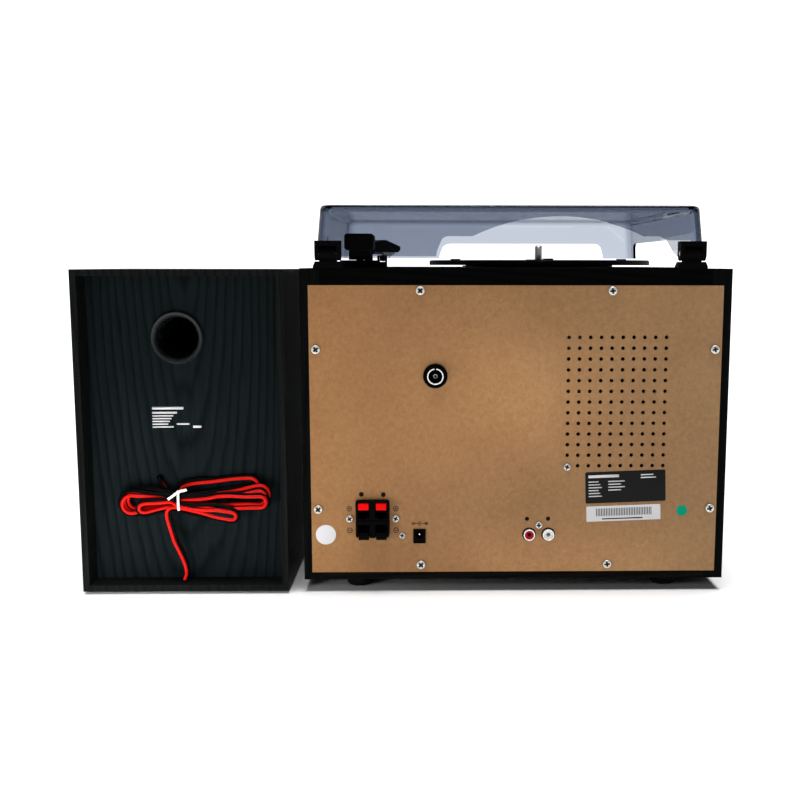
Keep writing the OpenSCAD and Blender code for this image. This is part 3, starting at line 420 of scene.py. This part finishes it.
# painted shade: the bores of the contacts and shells darken from 2.2 mm in front of the back face to 2 mm
# behind it
socketTin = metalWithPaintedShade("tinned socket", (0.86, 0.86, 0.83), -0.002, 0.0022, 0.25)
dullSteel = polishedMetal("dull steel", (0.45, 0.45, 0.44), 0.4, 0.15)
aluminium = polishedMetal("satin aluminium", (0.42, 0.42, 0.43), 0.3, 0.1)
brass = polishedMetal("turned brass", (0.72, 0.5, 0.2), 0.22, 0.1)
rubber = blackRubber()
cover = smokedAcrylic()
cloth = grilleCloth()
greenBoard = circuitBoard()
wireRed = mouldedPlastic("wire red", (0.47, 0.005, 0.003), 0.3, 0.15, gloss=0.12)
wireBlack = mouldedPlastic("wire black", (0.0012, 0.0012, 0.0013), 0.4, 0.15, gloss=0.04)
printBlack = mouldedPlastic("black ink", (0.006, 0.006, 0.006), 0.5, 0.1)
printWhite = mouldedPlastic("white ink", (0.7, 0.7, 0.7), 0.5, 0.1)
paperWhite = mouldedPlastic("white label", (0.62, 0.62, 0.63), 0.45, 0.2)
labelBlack = mouldedPlastic("black label", (0.012, 0.012, 0.012), 0.4, 0.1)
dotGreen = mouldedPlastic("green dot", (0.002, 0.29, 0.17), 0.5, 0.1)

finishes = {
    foilUpright: ["side_board_left", "side_board_right"],
    foilSpeaker: ["speaker_cabinet", "speaker_baffle"],
    foilBoard: ["speaker_back_board"],
    foilLevel: ["top_board"],
    foilBase: ["bottom_board"],
    hardboard: ["back_panel"],
    satinBlack: ["speaker_terminal", "lever_black_inner", "lever_black_outer", "antenna_socket", "dc_socket",
                 "line_out_holder", "tonearm_base", "arm_swivel", "tonearm", "arm_rest", "cue_lever",
                 "speed_switch", "cover_hinges", "hinge_bases", "woofer", "tweeter"],
    portGrey: ["bass_port"],
    frontBlack: ["front_panel", "cd_drawer"],
    deckBlack: ["turntable_deck", "platter"],
    glossBlack: ["display_window"],
    leverRed: ["lever_red_inner", "lever_red_outer"],
    socketRed: ["line_out_insert_red"],
    plainWhite: ["line_out_insert_white", "wire_tie"],
    brightSteel: ["rear_screws", "dc_pin", "spindle", "hinge_pins"],
    socketTin: ["antenna_contacts", "line_out_shells"],
    dullSteel: ["motor", "cd_mechanism", "board_spacers", "cartridge"],
    aluminium: ["volume_knob", "tuning_knob", "button_power", "button_source", "button_play"],
    brass: ["motor_pulley"],
    rubber: ["cabinet_feet", "platter_pads", "drive_belt", "speaker_pads"],
    cover: ["dust_cover"],
    cloth: ["speaker_grille"],
    greenBoard: ["circuit_boards"],
    wireRed: ["wire_hank", "wire_tail"],
}
for material, names in finishes.items():
    for name in names:
        nodes[name].data.materials.clear()
        nodes[name].data.materials.append(material)
print("finishes made:", len(finishes))

# speaker wire

# The route follows the one in part.scad, with the short lobes lying more closely on each other:
# one row a loop with length, end radius, rise and two bows for the long lobe, then for the short one.
speakerWire = dict(
    tie=(0.1805, 0.13675, 0.071), firstLayer=0.0044, layerPitch=0.003, waist=0.0034, strandShare=0.36,
    loops=[[0.0655, 0.0062, 0.0125, 0.2, 1.3, 0.0385, 0.0088, -0.0012, 1.0, 0.5],
           [0.075, 0.008, 0.0047, 1.3, 1.1, 0.0398, 0.0091, -0.0008, 0.9, 0.55],
           [0.072, 0.0055, 0.0036, 1.1, 1, 0.041, 0.009, 0.0013, 1.1, 0.45],
           [0.074, 0.0056, 0.0012, 0.9, 1.2, 0.0275, 0.005, 0.0035, 1, 0.6],
           [0.0515, 0.0047, -0.0098, 0.35, 1.1]],
    lead=[(0.013, 0, 0.0175), (0.013, 0.0024, 0.0175), (0.0126, 0.004, 0.0169), (0.0112, 0.0044, 0.0146),
          (0.0084, 0.0044, 0.01), (0.005, 0.0044, 0.006), (0.0024, 0.0044, 0.0041)],
    tail=[(0.0016, 0.0164, -0.0038), (0.0032, 0.0164, -0.005), (0.0036, 0.0162, -0.0074),
          (0.0034, 0.0158, -0.0105), (0.0026, 0.0152, -0.015), (0.001, 0.0144, -0.021),
          (-0.0016, 0.0134, -0.029), (-0.004, 0.0122, -0.037), (-0.006, 0.011, -0.045),
          (-0.0076, 0.0102, -0.052), (-0.0082, 0.0098, -0.057), (-0.0076, 0.0096, -0.0606),
          (-0.0064, 0.0096, -0.0624)],
    coreRadius=0.00132, coreOffset=0.0013, sides=14, step=0.0012, softness=0.0022,
    leadTurn=105, leadReach=0.02, leadLean=(0.8, 0.004), heldTo=0.012, freeOver=0.022,
    turn=62, turnWaves=[(16, 0.043, 0), (10, 0.017, 1)], stray=0.0013, strayWaves=(0.011, 0.0067),
    parting=0.0009, partWaves=(0.031, 0.013))


def lobeCurve(t, length, endRadius, rise, bowOut, bowBack):
    # two strands spread from the waist by a power of their run, joined by a half circle
    share, waist = speakerWire["strandShare"], speakerWire["waist"]
    side = np.where(t < 0.5, 1.0, -1.0)
    run = np.minimum(t, 1 - t) / share
    spread = np.minimum(run, 1) ** np.where(t < 0.5, bowOut, bowBack)
    turn = np.radians(90 - 180 * (t - share) / (1 - 2 * share))
    along = np.where(run < 1, (length - endRadius) * run, length - endRadius + endRadius * np.cos(turn))
    across = np.where(run < 1, side * waist * (1 - spread) + (rise + side * endRadius) * spread,
                      rise + endRadius * np.sin(turn))
    return along, across


def wireRoute(spec):
    # the lead, then a long lobe to one side and a short one to the other for each loop, each loop
    # one layer further out, and the tail
    tie = np.array(spec["tie"])
    route = [tie + np.array(spec["lead"])]
    t = np.arange(0, 1, 1 / 52)
    for number, row in enumerate(spec["loops"]):
        layer = spec["firstLayer"] + number * spec["layerPitch"]
        along, across = lobeCurve(t, *row[:5])
        route.append(tie + np.stack([-along, np.full_like(t, layer), across], 1))
        if len(row) > 5:  # the short lobe climbs to the next layer
            along, across = lobeCurve(t, *row[5:])
            climb = t * t * (3 - 2 * t) * spec["layerPitch"]
            route.append(tie + np.stack([along, layer + climb, -across], 1))
    route.append(tie + np.array(spec["tail"]))
    return smoothPath(np.concatenate(route), spec["step"], spec["softness"])


def makeWire(spec):
    # two round cores side by side; away from the tie they stray by two sine waves, part here and
    # there, and the red one turns outward, but where the wire leaves the board the black one does
    path = wireRoute(spec)
    along = np.arange(len(path)) * spec["step"]
    lean, fade = spec["leadLean"]
    reference = np.stack([0 * along, 0 * along + 1, lean * np.exp(-along / fade)], 1)
    side, up = pathFrame(path, reference)
    away = np.hypot(path[:, 0] - spec["tie"][0], path[:, 2] - spec["tie"][2])
    free = np.clip((away - spec["heldTo"]) / spec["freeOver"], 0, 1) ** 1.5
    long, short = spec["strayWaves"]
    stray = (np.sin(along / long + 1.7) + 0.8 * np.sin(along / short)) * spec["stray"] / 2 * free
    path = path + stray[:, None] * side
    twist = spec["turn"] * free - spec["leadTurn"] * np.exp(-(along / spec["leadReach"]) ** 4)
    for size, wave, start in spec["turnWaves"]:
        twist += size * np.sin(along / wave + start)
    twist = np.radians(twist)
    turnedSide = np.cos(twist)[:, None] * side + np.sin(twist)[:, None] * up
    turnedUp = np.cross(turnedSide, np.cross(side, up))
    long, short = spec["partWaves"]
    parting = np.clip(np.sin(along / long + 0.6) * np.sin(along / short), 0, 1) * spec["parting"]
    offset = (spec["coreOffset"] + parting)[:, None] * turnedSide
    shell = Shell()
    shell.addGrid(tubeRings(path + offset, turnedSide, turnedUp, spec["coreRadius"], spec["sides"]), 0)
    shell.addGrid(tubeRings(path - offset, turnedSide, turnedUp, spec["coreRadius"], spec["sides"]), 1)
    return path, shell.makePiece("speaker_wire", [wireRed, wireBlack], "speaker", ["wire_hank", "wire_tail"])


wireTie = dict(ring=dict(x=-0.0051, y=(0.0023, 0.0184), z=(-0.0058, 0.0091), corner=0.004),
               width=0.0019, thick=0.0008, knot=(-0.0056, 0.0187, 0.0102),
               ends=[(-0.0118, 0.0189, 0.0118), (0.0024, 0.0189, 0.0044)],
               bead=[(1e-5, -0.0014), (0.0009, -0.0011), (0.0013, 0), (0.0009, 0.0011), (1e-5, 0.0014)],
               beadAxis=(1, 0, 0.4), strand=0.0006, wound=0.00055, twistPitch=0.0032, steps=40)


def makeTie(spec):
    # a flat band round the hank, a bead where its ends meet, and two ends of two wound strands
    tie = np.array(speakerWire["tie"])
    band = spec["ring"]
    corner = np.radians(np.arange(0, 360, 6) + 3)
    centre = np.array([(band["y"][0] + band["y"][1]) / 2, (band["z"][0] + band["z"][1]) / 2])
    half = np.array([band["y"][1] - band["y"][0], band["z"][1] - band["z"][0]]) / 2
    facing = np.stack([np.cos(corner), np.sin(corner)], 1)
    outline = centre + np.sign(facing) * (half - band["corner"]) + band["corner"] * facing
    # the band's section is a flat rounded strip, carried round the outline
    section = np.radians(np.arange(0, 360, 30))
    across, through = spec["width"] / 2 * np.cos(section), spec["thick"] / 2 * np.sin(section)
    ring = np.empty((len(outline) + 1, len(section), 3))
    closedOutline, closedFacing = np.vstack([outline, outline[:1]]), np.vstack([facing, facing[:1]])
    ring[..., 0] = tie[0] + band["x"] + across
    ring[..., 1] = tie[1] + closedOutline[:, None, 0] + through * closedFacing[:, None, 0]
    ring[..., 2] = tie[2] + closedOutline[:, None, 1] + through * closedFacing[:, None, 1]
    shell = Shell()
    shell.addGrid(ring, caps=False)
    knot = tie + np.array(spec["knot"])
    shell.addGrid(turned(spec["bead"], knot, spec["beadAxis"], 16))
    for end in spec["ends"]:
        # two strands wound round one line
        t = np.linspace(0, 1, spec["steps"])[:, None]
        outward = np.tile([0.0, 1.0, 0.0], (spec["steps"], 1))
        line = knot + t * (tie + np.array(end) - knot)
        side, up = pathFrame(line, outward)
        length = np.linalg.norm(line[-1] - line[0])
        for phase in (0, math.pi):
            angle = phase + 2 * math.pi * t * length / spec["twistPitch"]
            strand = line + spec["wound"] * (np.cos(angle) * side + np.sin(angle) * up)
            shell.addGrid(tubeRings(strand, *pathFrame(strand, outward), spec["strand"], 8))
    return shell.makePiece("twisted_tie", [plainWhite], "speaker", ["wire_tie"])


wirePath, wirePiece = makeWire(speakerWire)
tiePiece = makeTie(wireTie)
wireLength = float(np.linalg.norm(np.diff(wirePath, axis=0), axis=1).sum())
print("speaker wire:", round(wireLength, 3), "m")

# screws

screwHead = dict(dome=0.52, crossWidth=0.46, crossReach=0.68, crossDepth=0.5, crossTurn=60, rings=26,
                 turns=72, startTurn=90, shank=0.00135, length=0.0072, threadPitch=0.0013, threadSteps=60,
                 tip=0.85, apart=0.0085)


def addScrew(shell, x, z, radius):
    # a pan head: a flattened dome with a cross-shaped hollow, over a shank with a helical thread;
    # how far the cross is turned follows from the screw's place
    spec, height = screwHead, radius * screwHead["dome"]
    r = np.linspace(1, 0.02, spec["rings"])[:, None]
    angle = (np.arange(spec["turns"]) * 2 * math.pi / spec["turns"])[None, :] + x * spec["startTurn"]
    a, b = r * np.cos(angle - x * spec["crossTurn"]), r * np.sin(angle - x * spec["crossTurn"])
    near, far = np.minimum(abs(a), abs(b)), np.maximum(abs(a), abs(b))
    hollow = np.clip((spec["crossWidth"] / 2 - near) / 0.05, 0, 1)
    hollow = hollow * np.clip((spec["crossReach"] - far) / 0.16, 0, 1)
    top = height * (0.3 + 0.7 * (1 - r ** 5) ** 0.5) - hollow * spec["crossDepth"] * radius
    head = np.stack([x + radius * r * np.cos(angle), backFace + top, z + radius * r * np.sin(angle)], -1)
    collar = head[:1].copy()
    collar[..., 1] = backFace
    steps = np.linspace(0, 1, spec["threadSteps"])[:, None]
    grip = spec["shank"] * (1 - np.clip((steps - spec["tip"]) / (1 - spec["tip"]), 0, 1) * 0.95)
    wave = abs(((steps * spec["length"] / spec["threadPitch"] + angle / (2 * math.pi)) % 1) - 0.5) * 2
    grip = grip * (0.82 + 0.18 * wave)
    thread = np.stack([x + grip * np.cos(angle), backFace - steps * spec["length"] + 0 * angle,
                       z + grip * np.sin(angle)], -1)
    shell.addGrid(np.concatenate([thread[::-1], collar, head]))


def makeScrews():
    # the same places as the CAD screws: head points that lie close together are one screw
    mesh = nodes["rear_screws"].data
    points = np.empty(len(mesh.vertices) * 3)
    mesh.vertices.foreach_get("co", points)
    points = points.reshape(-1, 3)
    heads = points[points[:, 1] > backFace - 0.00001]
    places = []
    for p in heads:
        for q in places:
            if np.hypot(p[0] - q[0][0], p[2] - q[0][2]) < screwHead["apart"]:
                q.append(p)
                break
        else:
            places.append([p])
    shell = Shell()
    for group in places:
        low, high = np.min(group, axis=0), np.max(group, axis=0)
        centre, radius = (low + high) / 2, (high[0] - low[0]) / 2
        addScrew(shell, centre[0], centre[2], radius - 0.00002)
    return shell.makePiece("back_screws", [screwZinc], "cabinet", ["rear_screws"])


makeScrews()
print("screws made")

# hinge slot shades: painted shade

# A thin black sheet in the slot behind the tongue of each hinge block is painted shade: it closes the slot,
# where there is only shade. It turns with the cover and keeps outside the tongue's rounded top.
hingeSlotShade = dict(width=0.0138, inner=0.00575, outer=0.00535, low=-0.0022, high=0.006,
                pinRise=0.0112, pinDepth=0.0016, pinHalf=0.0096)


def makeHingeSlotShades(spec):
    # a thin box behind each tongue, painted shade: its four corners at two heights
    low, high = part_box("hinge_pins")
    deck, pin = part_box("hinge_bases")[0].z, backFace - spec["pinDepth"]
    shell = Shell()
    for x in (low.x + spec["pinHalf"], high.x - spec["pinHalf"]):
        corners = [(-1, spec["outer"]), (1, spec["outer"]), (1, spec["inner"]), (-1, spec["inner"])]
        shell.addGrid(np.array([[(x + side * spec["width"] / 2, pin - depth, deck + spec["pinRise"] + z)
                                 for side, depth in corners] for z in (spec["low"], spec["high"])]))
    return shell.makePiece("hinge_slot_shades", [satinBlack], "cover", smooth=False)


makeHingeSlotShades(hingeSlotShade)

# labels and printed signs


def roundedOutline(width, height, corner, steps=8):
    # a rectangle whose four corners are quarter circles
    angle = np.radians(np.concatenate([np.linspace(q * 90, q * 90 + 90, steps) for q in range(4)]))
    facing = np.stack([np.cos(angle), np.sin(angle)], 1)
    quarter = np.radians(np.repeat(np.arange(4) * 90 + 45, steps))
    across, up = np.sign(np.cos(quarter)), np.sign(np.sin(quarter))
    return np.stack([across * (width / 2 - corner), up * (height / 2 - corner)], 1) + corner * facing


def addPlate(shell, centre, outline, thick, tilt=0.0, y=backFace):
    # a thin plate with a rounded upper edge, lying on the back face
    c, s = math.cos(math.radians(tilt)), math.sin(math.radians(tilt))
    outline = outline @ np.array([[c, s], [-s, c]])
    edge = min(thick, 0.0002)
    rings = []
    for inset, height in ((0, 0.0), (0, thick - edge * 0.6), (edge * 0.3, thick - edge * 0.2), (edge, thick)):
        size = 1 - inset / np.abs(outline).max()
        rings.append(np.stack([centre[0] + outline[:, 0] * size, np.full(len(outline), y + height),
                               centre[1] + outline[:, 1] * size], 1))
    shell.addGrid(np.array(rings))


labelThick, inkThick = 0.00018, 0.00006
labels = [
    dict(name="black_label", place=(-0.17275, 0.0838), size=(0.0629, 0.025), corner=0.0012, tilt=-2.0,
         finish=labelBlack),
    dict(name="white_label", place=(-0.1716, 0.0627), size=(0.0583, 0.0122), corner=0.0006, tilt=-2.0,
         finish=paperWhite),
    dict(name="round_label", place=(0.0617, 0.0461), size=(0.0158, 0.0158), corner=0.0079, tilt=0,
         finish=paperWhite),
    dict(name="green_dot", place=(-0.2176, 0.0645), size=(0.0085, 0.0085), corner=0.00425, tilt=0,
         finish=dotGreen),
]


def makeLabel(name, place, size, corner, tilt, finish):
    # a thin rounded plate, turned by tilt degrees
    shell = Shell()
    addPlate(shell, place, roundedOutline(*size, corner), labelThick, tilt)
    shell.makePiece(name, [finish], "cabinet")


for label in labels:
    makeLabel(**label)


def addStroke(shell, a, b, width):
    # a straight printed line with round ends
    a, b = np.array(a), np.array(b)
    length = np.hypot(*(b - a))
    outline = roundedOutline(length + width, width, width / 2, 5)
    addPlate(shell, (a + b) / 2, outline, inkThick, math.degrees(math.atan2(b[1] - a[1], b[0] - a[0])))


def addRing(shell, centre, radius, width, start=0, end=360):
    # a printed circle, or an arc of one
    whole = end - start == 360
    angle = np.radians(np.linspace(start, end, 49))
    facing = np.stack([np.cos(angle), 0 * angle, np.sin(angle)], 1)
    middle = np.array([centre[0], backFace, centre[1]])
    lift = np.array([0, inkThick, 0])
    inner, outer = middle + facing * (radius - width / 2), middle + facing * (radius + width / 2)
    shell.addGrid(np.stack([inner, outer, outer + lift, inner + lift], 1), caps=not whole)


signs = dict(width=0.0005, size=0.0038, dot=0.0012,
             pluses=[(0.0432, 0.0669), (0.0070, 0.0668)], minuses=[(0.0429, 0.0495), (0.0068, 0.0495)],
             dots=[(0.0337, 0.0783, 0.00375), (0.0166, 0.0780, 0.00375),
                   (-0.0958, 0.0583, 0.0034), (-0.1124, 0.0583, 0.0034)],
             power=dict(x=-0.0118, z=0.0548, gap=0.0051, size=0.0022, arc=0.0015, width=0.0004))


def addSign(shell, centre, size, plus, width):
    # a plus or minus in a circle
    (x, z), half = centre, size * 0.26
    addRing(shell, centre, size / 2, width)
    addStroke(shell, (x - half, z), (x + half, z), width)
    if plus:
        addStroke(shell, (x, z - half), (x, z + half), width)


def addDot(shell, centre, size):
    # a printed disc
    addPlate(shell, centre, roundedOutline(size, size, size / 2), inkThick)


def makeBackSigns(spec):
    # signs beside the terminal, dots over the sockets, and the power sign: a dot in an open ring
    # between a minus and a plus
    shell, power = Shell(), spec["power"]
    for plus, places in ((True, spec["pluses"]), (False, spec["minuses"])):
        for place in places:
            addSign(shell, place, spec["size"], plus, spec["width"])
    for x, z, size in spec["dots"]:
        addDot(shell, (x, z), size)
    x, z, width = power["x"], power["z"], power["width"]
    for step, plus, inner in ((1, False, power["arc"]), (-1, True, power["arc"] * 0.3)):
        addSign(shell, (x + step * power["gap"], z), power["size"], plus, width)
        addStroke(shell, (x + step * (power["gap"] - power["size"] / 2), z), (x + step * inner, z), width)
    addRing(shell, (x, z), power["arc"], width, 225, 495)
    addDot(shell, (x, z), spec["dot"])
    return shell.makePiece("back_signs", [printBlack], "cabinet")


makeBackSigns(signs)

# Plain bars and even ticks on the labels and on the speaker's board: start, height, length and
# width of each row, in metres from the middle of its field, the start counted towards the speaker.
plainPrint = [
    dict(name="plate_bars", body="cabinet", place=labels[0]["place"], tilt=-2.0, finish=printWhite,
         rows=[(0.029, 0.0088, 0.024, 0.0022), (-0.012, 0.009, 0.01, 0.0009), (-0.012, 0.0068, 0.012, 0.0009)]
         + [(0.029, 0.0046 - i * 0.0023, 0.008 + i % 3 * 0.0012, 0.0008) for i in range(6)]
         + [(0.0135, 0.0046 - i * 0.0023, 0.013 - i % 2 * 0.003, 0.0008) for i in range(4)]),
    dict(name="strip_ticks", body="cabinet", place=labels[1]["place"], tilt=-2.0, finish=printBlack,
         rows=[(0.0215 - i * 0.0013, 0.0012, 0.0006, 0.0062) for i in range(34)]
         + [(0.017, -0.0042, 0.032, 0.0009)]),
    dict(name="board_bars", body="speaker", place=(0.1795, 0.1366), tilt=0.0, finish=printWhite,
         y=speakerWire["tie"][1],
         rows=[(0.0184, 0.0074, 0.0245, 0.002), (0.0184, 0.0039, 0.0195, 0.0015),
               (-0.0005, -0.0051, 0.01, 0.0013), (-0.0132, -0.0073, 0.0066, 0.0019)]
         + [(0.0184, 0.0014 - i * 0.0022, 0.0165 - i * 5 % 4 * 0.0014, 0.0011) for i in range(5)]),
]


def makePlainPrint(name, body, place, tilt, finish, rows, y=backFace + labelThick):
    # each bar's middle lies half its length past its start, turned with the field by tilt
    shell = Shell()
    c, s = math.cos(math.radians(tilt)), math.sin(math.radians(tilt))
    for start, height, length, width in rows:
        along = start - length / 2
        spot = (place[0] + c * along - s * height, place[1] + s * along + c * height)
        outline = roundedOutline(length, width, min(length, width) * 0.2, 3)
        addPlate(shell, spot, outline, inkThick * 2 / 3, tilt, y)
    shell.makePiece(name, [finish], body)


for field in plainPrint:
    makePlainPrint(**field)
print("labels and signs made")

# floor and light

studio = dict(floor=0.84, worldSeen=1.5, worldLit=0.04, room=0.03, roomFrom=(-0.1, 0.35),
              sun=5.2, sunWidth=40,
              lamps=[dict(place=(0.25, 1.6, 0.85), aim=(-0.06, 0.15, 0.13), size=0.35, power=2.6),
                     dict(place=(0.215, 0.29, 0.035), aim=(0.175, 0.14, 0.06), size=0.06, power=0.29)])


def makeFloor():
    # one large square just below the feet
    mesh = bpy.data.meshes.new("floor")
    corners = [(x, y, -0.0002) for x, y in ((-9, -9), (9, -9), (9, 9), (-9, 9))]
    mesh.from_pydata(corners, [], [(0, 1, 2, 3)])
    floor = bpy.data.objects.new("floor", mesh)
    bpy.context.scene.collection.objects.link(floor)
    paint = newMaterial("pale floor", Base_Color=(*[studio["floor"]] * 3, 1), Roughness=1.0,
                        Specular_IOR_Level=0.0)
    mesh.materials.append(paint[0])


def makeWorld():
    # white behind the object and for whatever is seen straight through the cover; mirrored rays
    # that leave towards the viewer's side meet a dark room, and stray light is a faint even glow
    world = bpy.data.worlds.new("studio")
    bpy.context.scene.world = world
    world.use_nodes = True
    tree = world.node_tree
    rays = addNode(tree, "ShaderNodeLightPath").outputs
    heading = addNode(tree, "ShaderNodeSeparateXYZ",
                      links={"Vector": addNode(tree, "ShaderNodeTexCoord").outputs["Generated"]}).outputs["Y"]
    near, far = studio["roomFrom"]
    backdrop = addNode(tree, "ShaderNodeMapRange", {"From Min": near, "From Max": far, "To Min": 1.0,
                                                    "To Max": studio["room"]}, {"Value": heading})
    mirrored = combine(tree, "MINIMUM", rays["Glossy Depth"], 1)
    straight = combine(tree, "MULTIPLY", rays["Is Transmission Ray"], combine(tree, "SUBTRACT", 1, mirrored))
    seen = combine(tree, "MAXIMUM", rays["Is Camera Ray"], straight)
    unlit = combine(tree, "MULTIPLY", mirrored, combine(tree, "SUBTRACT", 1, rays["Is Diffuse Ray"]))
    gloss = combine(tree, "MULTIPLY", unlit, backdrop.outputs["Result"])
    shown = combine(tree, "MAXIMUM", gloss, combine(tree, "MULTIPLY", seen, studio["worldSeen"]))
    stray = combine(tree, "MULTIPLY", rays["Is Diffuse Ray"], studio["worldLit"])
    tree.links.new(combine(tree, "MAXIMUM", shown, stray), tree.nodes["Background"].inputs["Strength"])
    tree.nodes["Background"].inputs["Color"].default_value = (1, 1, 1, 1)


def makeSun():
    # light from straight above, wide enough for soft shadows
    data = bpy.data.lights.new("overhead", "SUN")
    data.energy, data.angle = studio["sun"], math.radians(studio["sunWidth"])
    bpy.context.scene.collection.objects.link(bpy.data.objects.new("overhead", data))


def makeLamp(place, aim, size, power):
    data = bpy.data.lights.new("soft box", "AREA")
    data.size, data.energy = size, power
    lamp = bpy.data.objects.new("soft box", data)
    bpy.context.scene.collection.objects.link(lamp)
    lamp.location = place
    # no bright square mirrored in the cover or seen through it
    lamp.visible_camera = lamp.visible_glossy = lamp.visible_transmission = False
    aim = np.array(aim) - np.array(place)
    lamp.rotation_euler = (math.atan2(math.hypot(aim[0], aim[1]), -aim[2]), 0,
                           math.atan2(aim[1], aim[0]) - math.pi / 2)


makeFloor()
makeWorld()
makeSun()
for lamp in studio["lamps"]:
    makeLamp(**lamp)
print("floor and light made")
